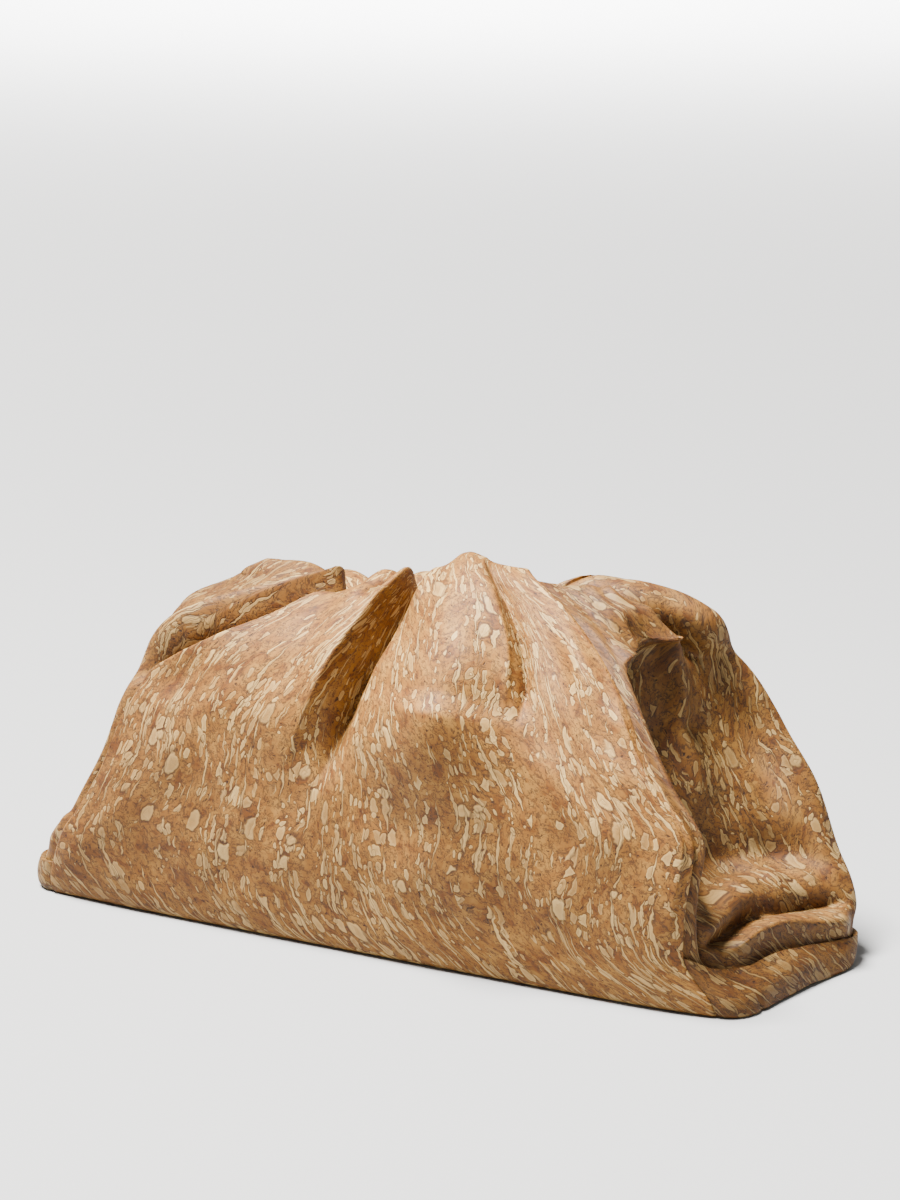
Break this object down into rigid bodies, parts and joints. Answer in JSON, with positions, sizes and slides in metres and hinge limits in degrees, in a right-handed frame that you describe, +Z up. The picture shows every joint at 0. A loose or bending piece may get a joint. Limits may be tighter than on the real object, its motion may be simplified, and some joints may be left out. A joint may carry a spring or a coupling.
{
  "type": "gathered frame clutch bag",
  "caption": "Soft pouch bag in cork cloth, gathered at the top into a narrow mouth on a hidden frame, standing on a flat bottom, with tucked-in ends.",
  "frame": {"origin": "middle of the overall box, on the surface that the bag stands on", "axes": "+X along the bag's length to its right end, +Y from the front to the back, +Z up through the mouth"},
  "size_m": [0.4184, 0.1651, 0.1907],
  "materials": {
    "front_cork": "satin cork cloth with pale flakes and dark specks",
    "back_cork": "satin cork cloth with pale flakes and dark specks",
    "right_gusset_cork": "satin cork cloth with pale flakes and dark specks",
    "left_gusset_cork": "satin cork cloth with pale flakes and dark specks",
    "right_band_cork": "satin cork cloth with pale flakes and dark specks",
    "left_band_cork": "satin cork cloth with pale flakes and dark specks",
    "base_cork": "satin cork cloth with pale flakes and dark specks",
    "frame_steel": "plain bar, hidden inside the cloth"
  },
  "bodies": {
    "root": {"front_panel": "front_cork", "back_panel": "back_cork", "gusset_right": "right_gusset_cork", "gusset_left": "left_gusset_cork", "end_band_right": "right_band_cork", "end_band_left": "left_band_cork", "base_panel": "base_cork", "mouth_frame": "frame_steel"}
  },
  "joints": []
}
